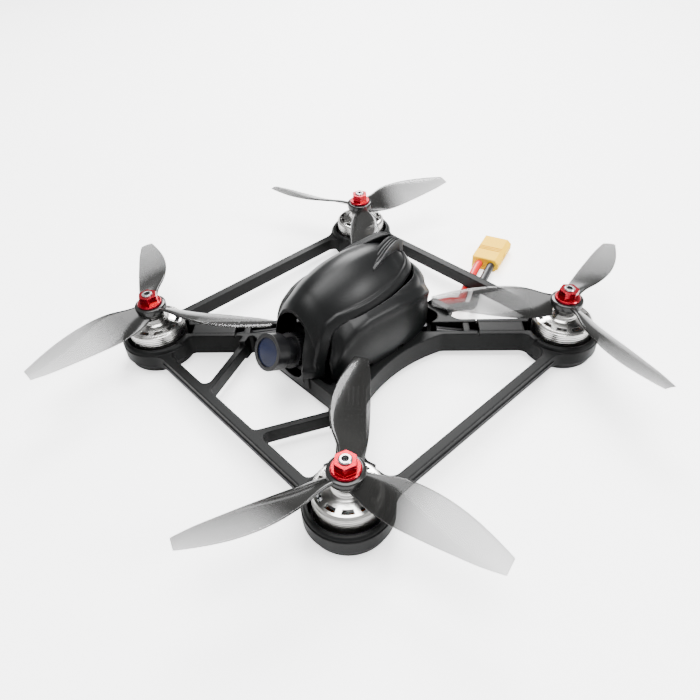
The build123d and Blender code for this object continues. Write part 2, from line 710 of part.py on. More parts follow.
with BuildPart() as magnets:
    with BuildSketch(Plane.XY.offset(stator_bottom - 0.4)):
        Circle(bell_bore - contact_gap / 2)
        Circle(stator_radius + air_gap, mode=Mode.SUBTRACT)
        with BuildSketch(mode=Mode.INTERSECT):
            with PolarLocations(bell_bore - 1, magnet_count):
                Rectangle(6.0, magnet_width)
    extrude(amount=stator_top - stator_bottom + 0.8)

with BuildPart() as bell:
    with BuildSketch(Plane.XZ):
        with BuildLine():
            Polyline(
                (stud_radius, bell_rim - 1.0),
                (seat_radius - 2.4, bell_rim - 1.0),
                (seat_radius - 1.0, bell_rim),
                (bell_bore - 0.6, bell_rim),
                (bell_bore, bell_rim - 0.8),
                (bell_bore, bell_bottom),
                (bell_radius - 0.4, bell_bottom),
                (bell_radius, bell_bottom + 0.4),
                (bell_radius, bell_top - 1.0),
                (bell_radius - 1.0, bell_top),
                (seat_radius + 1.0, bell_top + 1.1),
                (seat_radius, bell_top + 1.8),
                (seat_radius - 1.0, seat_top),
                (stud_radius, seat_top),
                close=True,
            )
        make_face()
    revolve(axis=Axis.Z)
    # cooling slots through the top plate
    with BuildSketch(Plane.XY.offset(bell_rim - 0.1)):
        Circle(bell_bore - 0.7)
        Circle(bell_bore - 0.7 - slot_width, mode=Mode.SUBTRACT)
        with PolarLocations(bell_bore, bell_spokes):
            Rectangle(bell_bore, spoke_width, mode=Mode.SUBTRACT)
    extrude(amount=plate_thickness + 2.0, mode=Mode.SUBTRACT)

with BuildPart() as shaft:
    with BuildSketch(Plane.XY.offset(pod_floor + 0.4)):
        Circle(axle_radius)
    extrude(amount=bell_rim - 1.0 - pod_floor - 0.4)
    with BuildSketch(Plane.XY.offset(bell_rim - 1.0)):
        Circle(stud_radius)
    extrude(amount=stud_top - bell_rim + 1.0)
    with BuildSketch(Plane.XY.offset(stud_top - 7)):
        Circle(stud_radius - 1.1)
    extrude(amount=7, mode=Mode.SUBTRACT)
    chamfer(shaft.faces().sort_by(Axis.Z)[-1].outer_wire().edges(), 0.4)

with BuildPart() as blade:
    # thin ellipses set along the radius, turned to the pitch and stepped back in a gentle S
    for share, chord, pitch, set_back, thickness in blade_stations:
        turn = radians(pitch)
        place = (share * prop_radius, set_back, blade_height)
        station = Plane(place, x_dir=(0, cos(turn), sin(turn)), z_dir=(1, 0, 0))
        with BuildSketch(station):
            Ellipse(chord / 2, thickness / 2)
    loft()

with BuildPart() as propeller:
    with BuildSketch(Plane.XZ):
        with BuildLine():
            Polyline(
                (0, seat_top),
                (hub_foot, seat_top),
                (hub_foot + 0.4, seat_top + 1.4),
                (hub_radius, hub_top - 3.0),
                (hub_radius, hub_top - 0.6),
                (hub_radius - 0.6, hub_top),
                (0, hub_top),
                close=True,
            )
        make_face()
    revolve(axis=Axis.Z)
    with PolarLocations(0, blade_count):
        add(blade.part)
    with BuildSketch(Plane.XY.offset(seat_top - 5)):
        Circle(stud_radius + contact_gap)
    extrude(amount=hub_top, mode=Mode.SUBTRACT)

with BuildPart() as prop_nut:
    with BuildSketch(Plane.XY.offset(hub_top)):
        Circle(nut_flange_radius)
    extrude(amount=nut_flange)
    chamfer(prop_nut.faces().sort_by(Axis.Z)[-1].edges(), 0.4)
    with BuildSketch(Plane.XY.offset(hub_top + nut_flange)):
        RegularPolygon(nut_across / 2, 6, major_radius=False)
    extrude(amount=nut_height - nut_flange)
    with BuildSketch(Plane.XY.offset(hub_top + nut_height - 1.6)):
        Circle(nut_across)
        Circle(nut_across / 2 + 0.25, mode=Mode.SUBTRACT)
    extrude(amount=2.0, taper=35, mode=Mode.SUBTRACT)
    with BuildSketch(Plane.XY.offset(hub_top)):
        Circle(stud_radius + contact_gap)
    extrude(amount=nut_height, mode=Mode.SUBTRACT)

# One of each piece at every motor. Pieces that turn keep a node per motor.
for name, (x, y) in motors.items():
    save(motor_base.part.moved(Location((x, y, 0))), f"motor_base_{name}")
    mirrored = name in clockwise
    blades = mirror(propeller.part, about=Plane.XZ) if mirrored else propeller.part
    turned = Location((x, y, 0), (0, 0, blade_angle[name]))
    save(blades.moved(turned), f"propeller_{name}")
    for piece, kind in ((bell, "bell"), (magnets, "magnets"), (shaft, "shaft"), (prop_nut, "prop_nut")):
        save(piece.part.moved(turned), f"{kind}_{name}")

# Pieces that stay with the frame are one group each.
groups = {"motor_bearings": bearings, "motor_screws": motor_screws, "stators": stator, "windings": windings}
for name, piece in groups.items():
    with BuildPart() as group:
        with Locations(*motors.values()):
            add(piece.part)
    save(group.part, name)

# ---- leads --------------------------------------------------------------------------------
with BuildPart() as motor_leads:
    # three wires side by side in each arm, falling from the pocket to the motor's base
    far = hypot(half, half) - base_radius - 1.2
    near = sqrt(2) * pocket_half_width + 6.0
    fall = Vector(far - near, 0, motor_lead_low - motor_lead_high)
    for turn in (45, 135, 225, 315):
        along = Plane.XY.rotated((0, 0, turn))
        start = along.x_dir * near + Vector(0, 0, motor_lead_high)
        direction = fall.rotate(Axis.Z, turn)
        with BuildSketch(Plane(start, x_dir=along.y_dir, z_dir=direction)):
            with GridLocations(2 * motor_lead_radius + 0.2, 1, 3, 1):
                Circle(motor_lead_radius)
        extrude(amount=fall.length)
save(motor_leads.part, "motor_leads")

with BuildPart() as lead_clips:
    for turn in (45, 135, 225, 315):
        along = Plane.XY.rotated((0, 0, turn))
        with BuildSketch(Plane(along.x_dir * (cover_start - clip_setback), along.y_dir, along.x_dir)):
            with Locations((0, motor_lead_high + 1.2)):
                Rectangle(channel_width, clip_thickness)
        extrude(amount=clip_length)
save(lead_clips.part, "lead_clips")

grommet_middle = ((red_route[0][0] + black_route[0][0]) / 2, body_half_length, red_route[0][2])
grommet_depth = red_route[0][1] - body_half_length
with BuildPart() as lead_grommet:
    with BuildSketch(Plane.XZ.offset(-grommet_middle[1])):
        with Locations((grommet_middle[0], grommet_middle[2])):
            RectangleRounded(black_route[0][0] - red_route[0][0] + lead_diameter + 3.0, lead_diameter + 2.6, 3.0)
    extrude(amount=-grommet_depth)
    fillet(lead_grommet.faces().sort_by(Axis.Y)[-1].edges(), 1.2)
save(lead_grommet.part, "lead_grommet")


def lead(route):
    """Round lead along straight runs joined by tangent arcs as large as the runs allow."""
    points = [Vector(*point) for point in route]
    runs = [after - before for before, after in zip(points, points[1:])]
    radii = []
    for one, two in zip(runs, runs[1:]):
        turn = radians(one.get_angle(two))
        radii.append(0.45 * min(one.length, two.length) / tan(turn / 2))
    with BuildPart() as tube:
        with BuildLine() as path:
            FilletPolyline(*points, radius=radii)
        with BuildSketch(Plane(points[0], z_dir=runs[0])):
            Circle(lead_diameter / 2)
        sweep()
    length = path.wire().length
    section = pi * lead_diameter**2 / 4
    print("lead radii", [round(r, 1) for r in radii], "length", round(length, 1))
    print("volume over section times length", round(tube.part.volume / (section * length), 4))
    return tube.part


save(lead(red_route), "battery_lead_red")
save(lead(black_route), "battery_lead_black")

# The plug lies on its flat side where the two leads end.
red_end, black_end = Vector(*red_route[-1]), Vector(*black_route[-1])
across = (black_end - red_end).normalized()
plug_plane = Plane((red_end + black_end) / 2, x_dir=across, z_dir=across.cross(Vector(0, 0, -1)))
lead_spacing = (black_end - red_end).length


def plug_outline(inset=0.0):
    """Corners of the plug's section: a rectangle with two corners cut off at one end."""
    x, y, cut = plug_width / 2 - inset, plug_height / 2 - inset, plug_corner - 0.6 * inset
    return [(-x, -y), (x - cut, -y), (x, cut - y), (x, y - cut), (x - cut, y), (-x, y)]


with BuildPart() as battery_plug:
    with BuildSketch(plug_plane):
        Polygon(*plug_outline(), align=None)
    extrude(amount=plug_length)
    ends = battery_plug.faces().filter_by(lambda face: abs(face.normal_at().dot(plug_plane.z_dir)) > 0.9)
    chamfer(ends.edges(), 0.4)
    # mating cavity at the free end
    with BuildSketch(plug_plane.offset(plug_length - plug_cavity_depth)):
        Polygon(*plug_outline(plug_wall), align=None)
    extrude(amount=plug_cavity_depth, mode=Mode.SUBTRACT)
    # waist between the grip and the mating end
    for share in grip_rings:
        with BuildSketch(plug_plane.offset(plug_length * share)):
            Rectangle(2 * plug_width, 2 * plug_height)
            Rectangle(plug_width - 2 * grip_depth, plug_height - 2 * grip_depth, mode=Mode.SUBTRACT)
        extrude(amount=2 * grip_depth, mode=Mode.SUBTRACT)
    with BuildSketch(plug_plane.offset(plug_length - plug_cavity_depth - contact_seat)):
        with GridLocations(lead_spacing, 1, 2, 1):
            Circle(contact_radius + contact_gap)
    extrude(amount=contact_seat, mode=Mode.SUBTRACT)
save(battery_plug.part, "battery_plug")

with BuildPart() as plug_contacts:
    with BuildSketch(plug_plane.offset(plug_length - plug_cavity_depth - contact_seat)):
        with GridLocations(lead_spacing, 1, 2, 1):
            Circle(contact_radius)
    extrude(amount=contact_seat + plug_cavity_depth - 1.5)
    chamfer(plug_contacts.edges().filter_by(GeomType.CIRCLE), 0.3)
save(plug_contacts.part, "plug_contacts")
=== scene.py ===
"""Looks of the racing quadcopter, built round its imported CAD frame. Metres, +Z up, nose towards -Y."""
import json
from math import atan, pi, radians

import bmesh
import bpy
import numpy as np
from mathutils import Matrix, Vector


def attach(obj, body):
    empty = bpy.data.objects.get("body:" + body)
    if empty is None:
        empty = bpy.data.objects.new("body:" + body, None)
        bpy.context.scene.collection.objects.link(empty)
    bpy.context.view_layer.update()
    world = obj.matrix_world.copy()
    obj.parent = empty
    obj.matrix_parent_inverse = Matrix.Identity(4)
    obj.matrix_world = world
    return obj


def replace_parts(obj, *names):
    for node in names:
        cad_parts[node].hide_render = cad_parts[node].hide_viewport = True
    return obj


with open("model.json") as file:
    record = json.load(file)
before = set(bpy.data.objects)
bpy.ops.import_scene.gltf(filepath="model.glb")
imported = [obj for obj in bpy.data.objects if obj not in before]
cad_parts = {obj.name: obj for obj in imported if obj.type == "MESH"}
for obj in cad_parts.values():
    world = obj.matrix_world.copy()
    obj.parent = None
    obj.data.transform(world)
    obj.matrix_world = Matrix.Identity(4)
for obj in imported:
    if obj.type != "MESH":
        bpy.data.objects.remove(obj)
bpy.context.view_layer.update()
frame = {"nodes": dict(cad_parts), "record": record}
MM = 0.001
SKY_STRENGTH = 0.6
FLOOR_GLOW = 1.6    # whitens the floor as the camera sees it, without lighting the aircraft
MOTORS = ("front_right", "front_left", "rear_right", "rear_left")
CLOCKWISE = ("front_right", "rear_left")


# ---- camera and cords ---------------------------------------------------------------------
def place_camera():
    """A 31 mm lens a short arm's length off the nose's left, looking down on the aircraft."""
    across, upward, back = (0.6800, 0.7320, -0.0424), (-0.4598, 0.4707, 0.7530), (0.5711, -0.4925, 0.6567)
    data = bpy.data.cameras.new("camera")
    data.lens, data.sensor_width = 31.25, 36.0
    data.clip_start = 0.01
    camera = bpy.data.objects.new("camera", data)
    bpy.context.scene.collection.objects.link(camera)
    turn = Matrix((across, upward, back)).transposed().to_4x4()
    camera.matrix_world = Matrix.Translation((0.1761, -0.1566, 0.2050)) @ turn
    bpy.context.scene.camera = camera


place_camera()

LEAD_DIAMETER = 4.5 * MM
# The battery leads' routes, from the grommet in the tail to the plug on the ground.
RED_ROUTE = (
    (15.5, 44.0, 13.5),
    (17.0, 51.0, 12.4),
    (17.4, 60.0, 7.2),
    (12.8, 68.5, 2.4),
    (7.6, 77.5, 2.4),
    (4.0, 87.0, 2.5),
    (0.8, 95.0, 4.05),
    (-1.3, 100.95, 4.05),
)
BLACK_ROUTE = (
    (22.2, 44.0, 13.5),
    (24.2, 51.5, 12.3),
    (24.4, 61.5, 6.9),
    (19.4, 70.5, 2.4),
    (14.2, 79.5, 2.4),
    (10.6, 89.0, 2.5),
    (7.6, 97.4, 4.05),
    (5.5, 103.35, 4.05),
)


def make_lead(name, route):
    """A round silicone lead: a smooth spline with the route's points as its control points."""
    curve = bpy.data.curves.new(name, "CURVE")
    curve.dimensions = "3D"
    spline = curve.splines.new("NURBS")
    spline.points.add(len(route) - 1)
    for point, place in zip(spline.points, route):
        point.co = (*(value * MM for value in place), 1.0)
    spline.order_u = 3
    spline.use_endpoint_u = True
    spline.resolution_u = 12
    curve.bevel_depth = 1.0
    spline.points.foreach_set("radius", [LEAD_DIAMETER / 2] * len(route))
    curve.bevel_resolution = 6
    curve.use_fill_caps = True
    piece = bpy.data.objects.new(name, curve)
    bpy.context.scene.collection.objects.link(piece)
    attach(piece, "airframe")
    return piece


red_lead = make_lead("red_lead", RED_ROUTE)
black_lead = make_lead("black_lead", BLACK_ROUTE)
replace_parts(red_lead, "battery_lead_red")
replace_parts(black_lead, "battery_lead_black")


# ---- shader groups ------------------------------------------------------------------------
def new_group(name, inputs, outputs):
    """An empty shader node group with the given sockets, and its input and output nodes."""
    group = bpy.data.node_groups.new(name, "ShaderNodeTree")
    for label, kind, value in inputs:
        socket = group.interface.new_socket(label, in_out="INPUT", socket_type=kind)
        if value is not None:
            socket.default_value = value
    for label, kind in outputs:
        group.interface.new_socket(label, in_out="OUTPUT", socket_type=kind)
    return group, group.nodes.new("NodeGroupInput"), group.nodes.new("NodeGroupOutput")


def math_node(tree, operation, first, second=None, clamp=False):
    """A Math node whose inputs are sockets or plain numbers; its result."""
    node = tree.nodes.new("ShaderNodeMath")
    node.operation, node.use_clamp = operation, clamp
    for slot, value in enumerate((first, second)):
        if isinstance(value, (int, float)):
            node.inputs[slot].default_value = value
        elif value is not None:
            tree.links.new(value, node.inputs[slot])
    return node.outputs[0]


def grain_group():
    """Fine moulded or cast grain: speckle height, and a soft cloud that varies gloss and colour."""
    group, source, sink = new_group(
        "fine_grain",
        [("Scale", "NodeSocketFloat", 900.0), ("Cloud Scale", "NodeSocketFloat", 30.0)],
        [("Height", "NodeSocketFloat"), ("Cloud", "NodeSocketFloat")],
    )
    place = group.nodes.new("ShaderNodeTexCoord").outputs["Object"]
    for label, size, detail, out in (("Scale", "Scale", 3.0, "Height"), ("Cloud Scale", "Scale", 2.0, "Cloud")):
        noise = group.nodes.new("ShaderNodeTexNoise")
        noise.inputs["Detail"].default_value = detail
        group.links.new(place, noise.inputs["Vector"])
        group.links.new(source.outputs[label], noise.inputs[size])
        group.links.new(noise.outputs["Fac"], sink.inputs[out])
    return group


def edge_group():
    """Softened edges: a rounded normal, and a mask that is bright along the edges, for the lighter edge colour of wear
    and, on the red nuts, of a painted highlight.
    """
    group, source, sink = new_group(
        "soft_edges",
        [("Radius", "NodeSocketFloat", 0.0004), ("Wear And Highlight", "NodeSocketFloat", 1.0)],
        [("Normal", "NodeSocketVector"), ("Edge", "NodeSocketFloat")],
    )
    bevel = group.nodes.new("ShaderNodeBevel")
    bevel.samples = 6
    geometry = group.nodes.new("ShaderNodeNewGeometry")
    dot = group.nodes.new("ShaderNodeVectorMath")
    dot.operation = "DOT_PRODUCT"
    group.links.new(source.outputs["Radius"], bevel.inputs["Radius"])
    group.links.new(bevel.outputs["Normal"], dot.inputs[0])
    group.links.new(geometry.outputs["Normal"], dot.inputs[1])
    bend = math_node(group, "SUBTRACT", 1.0, dot.outputs["Value"], clamp=True)
    spread = math_node(group, "MULTIPLY", bend, 4.0, clamp=True)
    edge_wear_and_highlight = math_node(group, "MULTIPLY", spread, source.outputs["Wear And Highlight"], clamp=True)
    group.links.new(bevel.outputs["Normal"], sink.inputs["Normal"])
    group.links.new(edge_wear_and_highlight, sink.inputs["Edge"])
    return group


def turning_group():
    """Marks of a lathe: fine rings stacked along Z, and their height."""
    group, source, sink = new_group(
        "turned_rings",
        [("Pitch", "NodeSocketFloat", 0.0006)],
        [("Height", "NodeSocketFloat"), ("Ring", "NodeSocketFloat")],
    )
    place = group.nodes.new("ShaderNodeTexCoord").outputs["Object"]
    split = group.nodes.new("ShaderNodeSeparateXYZ")
    group.links.new(place, split.inputs[0])
    turns = math_node(group, "DIVIDE", split.outputs["Z"], source.outputs["Pitch"])
    wave = math_node(group, "SINE", math_node(group, "MULTIPLY", turns, 2 * pi))
    ring = math_node(group, "MULTIPLY", math_node(group, "ADD", wave, 1.0), 0.5)
    group.links.new(ring, sink.inputs["Height"])
    group.links.new(ring, sink.inputs["Ring"])
    return group


GRAIN, EDGES, RINGS = grain_group(), edge_group(), turning_group()


def finish_material(name, color, roughness, metallic=0.0, coat=0.0, grain=900.0, depth=0.15, spread=0.06,
                    tint=0.12, edge=0.0004, wear_and_highlight=0.15, edge_wear_and_highlight=None, rings=0.0, alpha=1.0, coat_roughness=0.1,
                    specular=0.5):
    """One finish: grain in the bump, a cloud in gloss and tint, lighter softened edges, which are edge wear and, on
    the red nuts, a painted highlight.
    """
    material = bpy.data.materials.new(name)
    material.use_nodes = True
    tree = material.node_tree
    shader = tree.nodes["Principled BSDF"]
    shader.inputs["Metallic"].default_value = metallic
    shader.inputs["Coat Weight"].default_value = coat
    shader.inputs["Coat Roughness"].default_value = coat_roughness
    shader.inputs["Specular IOR Level"].default_value = specular
    shader.inputs["Alpha"].default_value = alpha
    detail = tree.nodes.new("ShaderNodeGroup")
    detail.node_tree = GRAIN
    detail.inputs["Scale"].default_value = grain
    edges = tree.nodes.new("ShaderNodeGroup")
    edges.node_tree = EDGES
    edges.inputs["Radius"].default_value = edge
    edges.inputs["Wear And Highlight"].default_value = wear_and_highlight
    cloud = detail.outputs["Cloud"]
    base = tree.nodes.new("ShaderNodeMix")
    base.data_type = "RGBA"
    base.inputs[6].default_value = (*(c * (1 - tint) for c in color), 1)
    base.inputs[7].default_value = (*(min(1, c * (1 + tint)) for c in color), 1)
    tree.links.new(cloud, base.inputs[0])
    top = tree.nodes.new("ShaderNodeMix")
    top.data_type = "RGBA"
    # lighter colour along the edges: edge wear, and on the red nuts a painted highlight
    top.inputs[7].default_value = (*(edge_wear_and_highlight or [min(1, c * 1.8 + 0.02) for c in color]), 1)
    tree.links.new(edges.outputs["Edge"], top.inputs[0])
    tree.links.new(base.outputs[2], top.inputs[6])
    tree.links.new(top.outputs[2], shader.inputs["Base Color"])
    gloss = math_node(tree, "ADD", math_node(tree, "MULTIPLY", cloud, 2 * spread), roughness - spread, clamp=True)
    tree.links.new(gloss, shader.inputs["Roughness"])
    bump = tree.nodes.new("ShaderNodeBump")
    bump.inputs["Strength"].default_value = depth
    bump.inputs["Distance"].default_value = 0.0001
    height = detail.outputs["Height"]
    if rings:
        turned = tree.nodes.new("ShaderNodeGroup")
        turned.node_tree = RINGS
        turned.inputs["Pitch"].default_value = rings
        height = math_node(tree, "ADD", height, turned.outputs["Height"])
    tree.links.new(height, bump.inputs["Height"])
    tree.links.new(edges.outputs["Normal"], bump.inputs["Normal"])
    tree.links.new(bump.outputs["Normal"], shader.inputs["Normal"])
    return material


MATERIALS = {
    "frame_plastic": finish_material("frame_plastic", (0.0030, 0.0033, 0.0033), 0.44, grain=1500, depth=0.3,
                                     wear_and_highlight=0.3, edge_wear_and_highlight=(0.014, 0.014, 0.014), edge=0.0010, specular=0.11),
    "cover_plastic": finish_material("cover_plastic", (0.0030, 0.0033, 0.0034), 0.37, grain=2200, depth=0.08,
                                     wear_and_highlight=0.15, edge_wear_and_highlight=(0.02, 0.02, 0.02), edge=0.0005, specular=0.18),
    "camera_black": finish_material("camera_black", (0.003, 0.003, 0.0035), 0.3, specular=0.3, wear_and_highlight=0.35, edge=0.0003),
    "bell_metal": finish_material("bell_metal", (0.66, 0.65, 0.63), 0.27, metallic=1.0, rings=0.0011, depth=0.6,
                                  wear_and_highlight=0.1, tint=0.05, edge_wear_and_highlight=(0.9, 0.9, 0.9), edge=0.0002),
    "steel": finish_material("steel", (0.50, 0.50, 0.51), 0.26, metallic=1.0, depth=0.2, edge=0.0002),
    "black_steel": finish_material("black_steel", (0.02, 0.02, 0.022), 0.35, metallic=0.6),
    "magnet": finish_material("magnet", (0.30, 0.31, 0.32), 0.35, metallic=0.9, edge=0.0002),
    "copper": finish_material("copper", (0.50, 0.20, 0.08), 0.3, metallic=1.0, rings=0.0005, depth=0.6, edge=0.0002),
    # the red nuts' pink edge colour is a painted highlight
    "nut_red": finish_material("nut_red", (0.30, 0.001, 0.012), 0.24, metallic=0.9, coat=0.15, wear_and_highlight=0.05,
                               edge_wear_and_highlight=(0.8, 0.12, 0.12), edge=0.0003, tint=0.05),
    "board_green": finish_material("board_green", (0.01, 0.018, 0.026), 0.4, edge=0.0002),
    "gold": finish_material("gold", (0.83, 0.58, 0.20), 0.22, metallic=1.0, tint=0.05, edge=0.0002),
    "lead_red": finish_material("lead_red", (0.55, 0.006, 0.010), 0.38, grain=700, depth=0.1, wear_and_highlight=0.0),
    "lead_black": finish_material("lead_black", (0.008, 0.008, 0.009), 0.42, grain=700, depth=0.1, wear_and_highlight=0.0),
    "plug_yellow": finish_material("plug_yellow", (0.86, 0.50, 0.0), 0.5, grain=1200, depth=0.12, wear_and_highlight=0.15,
                                   edge_wear_and_highlight=(0.9, 0.58, 0.02), edge=0.0004, specular=0.15),
    "capacitor_skin": finish_material("capacitor_skin", (0.02, 0.03, 0.06), 0.3, edge=0.0003),
}


def glass_material():
    """Coated front element of the lens: dark blue glass with a lighter blue sheen in soft clouds."""
    material = bpy.data.materials.new("lens_glass")
    material.use_nodes = True
    shader = material.node_tree.nodes["Principled BSDF"]
    tree = material.node_tree
    detail = tree.nodes.new("ShaderNodeGroup")
    detail.node_tree = GRAIN
    detail.inputs["Cloud Scale"].default_value = 120.0
    sheen = tree.nodes.new("ShaderNodeMix")
    sheen.data_type = "RGBA"
    sheen.inputs[6].default_value = (0.004, 0.006, 0.016, 1)
    sheen.inputs[7].default_value = (0.012, 0.016, 0.045, 1)
    tree.links.new(detail.outputs["Cloud"], sheen.inputs[0])
    tree.links.new(sheen.outputs[2], shader.inputs["Base Color"])
    shader.inputs["Roughness"].default_value = 0.14
    shader.inputs["Specular IOR Level"].default_value = 0.16
    return material


def blade_material():
    """Smoky polycarbonate: clear in the thin blades, dense at the hub and where seen edge on."""
    material = finish_material("blade_smoke", (0.010, 0.010, 0.0095), 0.16, grain=500, depth=0.04, wear_and_highlight=0.1,
                               edge_wear_and_highlight=(0.2, 0.2, 0.2), edge=0.0002, specular=0.32)
    tree = material.node_tree
    shader = tree.nodes["Principled BSDF"]
    place = tree.nodes.new("ShaderNodeUVMap")
    place.uv_map = "blade"
    split = tree.nodes.new("ShaderNodeSeparateXYZ")
    tree.links.new(place.outputs["UV"], split.inputs[0])
    root = math_node(tree, "SUBTRACT", 1.0, math_node(tree, "MULTIPLY", split.outputs["X"], 2.1), clamp=True)
    facing = tree.nodes.new("ShaderNodeLayerWeight")
    facing.inputs["Blend"].default_value = 0.42
    grazing = math_node(tree, "MULTIPLY", facing.outputs["Facing"], 0.55)
    dense = math_node(tree, "ADD", math_node(tree, "MULTIPLY", math_node(tree, "POWER", root, 1.6), 0.55), grazing)
    thinning = math_node(tree, "MULTIPLY", split.outputs["X"], -0.2)
    body = math_node(tree, "ADD", thinning, 0.56)
    tree.links.new(math_node(tree, "ADD", dense, body, clamp=True), shader.inputs["Alpha"])
    return material


MATERIALS["lens_glass"] = glass_material()
MATERIALS["blade_smoke"] = blade_material()

for entry in frame["record"]["subparts"]:
    node = frame["nodes"][entry["node"]]
    node.data.materials.clear()
    node.data.materials.append(MATERIALS[entry["material_slot"]])
red_lead.data.materials.append(MATERIALS["lead_red"])
black_lead.data.materials.append(MATERIALS["lead_black"])


# ---- shaped pieces ------------------------------------------------------------------------
def smooth_through(rows, at):
    """Values of a smooth curve through rows of (place, value, ...) at the places asked for.

    Between two rows it is the cubic that leaves and arrives along the slope of their neighbours.
    """
    rows = np.asarray(rows, float)
    place, values = rows[:, 0], rows[:, 1:]
    slope = np.gradient(values, place, axis=0)
    at = np.clip(at, place[0], place[-1])
    k = np.clip(np.searchsorted(place, at, side="right") - 1, 0, len(place) - 2)
    span = (place[k + 1] - place[k])[:, None]
    t = (at - place[k])[:, None] / span
    start, end = values[k], values[k + 1]
    return (
        start * (1 + 2 * t) * (1 - t) ** 2
        + end * t**2 * (3 - 2 * t)
        + slope[k] * span * t * (1 - t) ** 2
        - slope[k + 1] * span * t**2 * (1 - t)
    )


def grid_faces(rows, columns, close_rows=False, close_columns=True):
    """Quads of a grid numbered row by row; either way may close on itself."""
    i = np.arange(rows if close_rows else rows - 1)
    j = np.arange(columns if close_columns else columns - 1)
    i, j = np.meshgrid(i, j, indexing="ij")
    k, l = (i + 1) % rows, (j + 1) % columns
    return np.stack((i * columns + j, i * columns + l, k * columns + l, k * columns + j), -1).reshape(-1, 4)


def make_piece(name, points, faces, body, material, uv=None):
    """A smooth-shaded mesh piece from millimetre points, riding on a body, with a finish."""
    mesh = bpy.data.meshes.new(name)
    points, faces = np.asarray(points, float).reshape(-1, 3) * MM, np.asarray(faces)
    mesh.vertices.add(len(points))
    mesh.vertices.foreach_set("co", points.ravel())
    mesh.loops.add(faces.size)
    mesh.loops.foreach_set("vertex_index", faces.ravel())
    mesh.polygons.add(len(faces))
    mesh.polygons.foreach_set("loop_start", np.arange(len(faces)) * faces.shape[1])
    mesh.update(calc_edges=True)
    mesh.validate()
    if uv is not None:
        layer = mesh.uv_layers.new(name=uv[0])
        layer.data.foreach_set("uv", np.asarray(uv[1], float)[faces.ravel()].ravel())
    mesh.shade_smooth()
    mesh.materials.append(material)
    piece = bpy.data.objects.new(name, mesh)
    bpy.context.scene.collection.objects.link(piece)
    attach(piece, body)
    return piece


# Along a blade: radius, chord, pitch in degrees, set back, thickness.
BLADE_STATIONS = (
    (3.0, 9.0, 38.0, -0.4, 2.4),
    (10.0, 12.0, 36.0, -0.8, 2.0),
    (19.0, 16.2, 30.0, 0.3, 1.7),
    (32.0, 17.2, 22.0, 1.1, 1.4),
    (45.0, 14.8, 17.0, 0.7, 1.1),
    (56.0, 10.6, 14.0, -0.5, 0.9),
    (63.5, 6.4, 12.0, -1.3, 0.7),
)
BLADE_HEIGHT = 27.6
BLADE_ANGLE = {"front_right": 32.4, "front_left": 12.65, "rear_right": 79.2, "rear_left": 100.6}
MOTOR_PLACE = {"front_right": (-71, -71), "front_left": (71, -71), "rear_right": (-71, 71), "rear_left": (71, 71)}
# The hub's outline from its foot to its top, as (radius, height).
HUB_OUTLINE = ((2.55, 24.0), (5.0, 24.0), (5.2, 24.2), (5.6, 25.4), (7.3, 27.6), (7.5, 28.2), (7.5, 30.3),
               (7.4, 30.7), (7.0, 31.0), (2.55, 31.0))


def blade_grid(lengthwise=56, around=36):
    """Thin cambered sections set along the radius.

    Round each section the angle goes once about: its cosine is the place along the chord, its
    sine the thickness, fullest a third of the way from the leading edge, and the middle arches
    up by a few percent of the chord. The sections shrink to a thin end at the tip.
    """
    radius = np.concatenate((np.linspace(3.0, 62.9, lengthwise - 4), [63.2, 63.4, 63.48, 63.5]))
    chord, pitch, set_back, thickness = smooth_through(BLADE_STATIONS, radius).T[:, :, None]
    end = np.sqrt(np.clip(1 - ((radius - 62.7).clip(0) / 0.8) ** 2, 0.0, 1))[:, None]
    angle = np.linspace(0, 2 * pi, around, endpoint=False)[None, :]
    along = np.cos(angle) * chord / 2 * (0.93 + 0.07 * end)
    full = np.sqrt(np.abs(np.sin(angle))) * np.sign(np.sin(angle)) * (0.72 + 0.28 * np.cos(angle))
    across = thickness / 2 * full * (0.15 + 0.85 * end) + 0.045 * chord * np.sin(angle) ** 2
    turn = np.radians(pitch)
    y = set_back + along * np.cos(turn) - across * np.sin(turn)
    z = BLADE_HEIGHT + along * np.sin(turn) + across * np.cos(turn) - 0.022 * chord
    x = np.broadcast_to(radius[:, None], y.shape)
    share = np.broadcast_to(((radius - 7) / 56.5).clip(0)[:, None], y.shape)
    width = np.broadcast_to(0.5 + 0.5 * np.cos(angle), y.shape)
    return np.stack((x, y, z), -1), np.stack((share, width), -1)


def ring_grid(outline, around=72):
    """A closed outline of (radius, height) turned once about the upright axis."""
    radius, height = np.asarray(outline, float).T
    angle = np.linspace(0, 2 * pi, around, endpoint=False)
    return np.stack((
        radius[:, None] * np.cos(angle), radius[:, None] * np.sin(angle),
        np.broadcast_to(height[:, None], (len(radius), around)),
    ), -1)


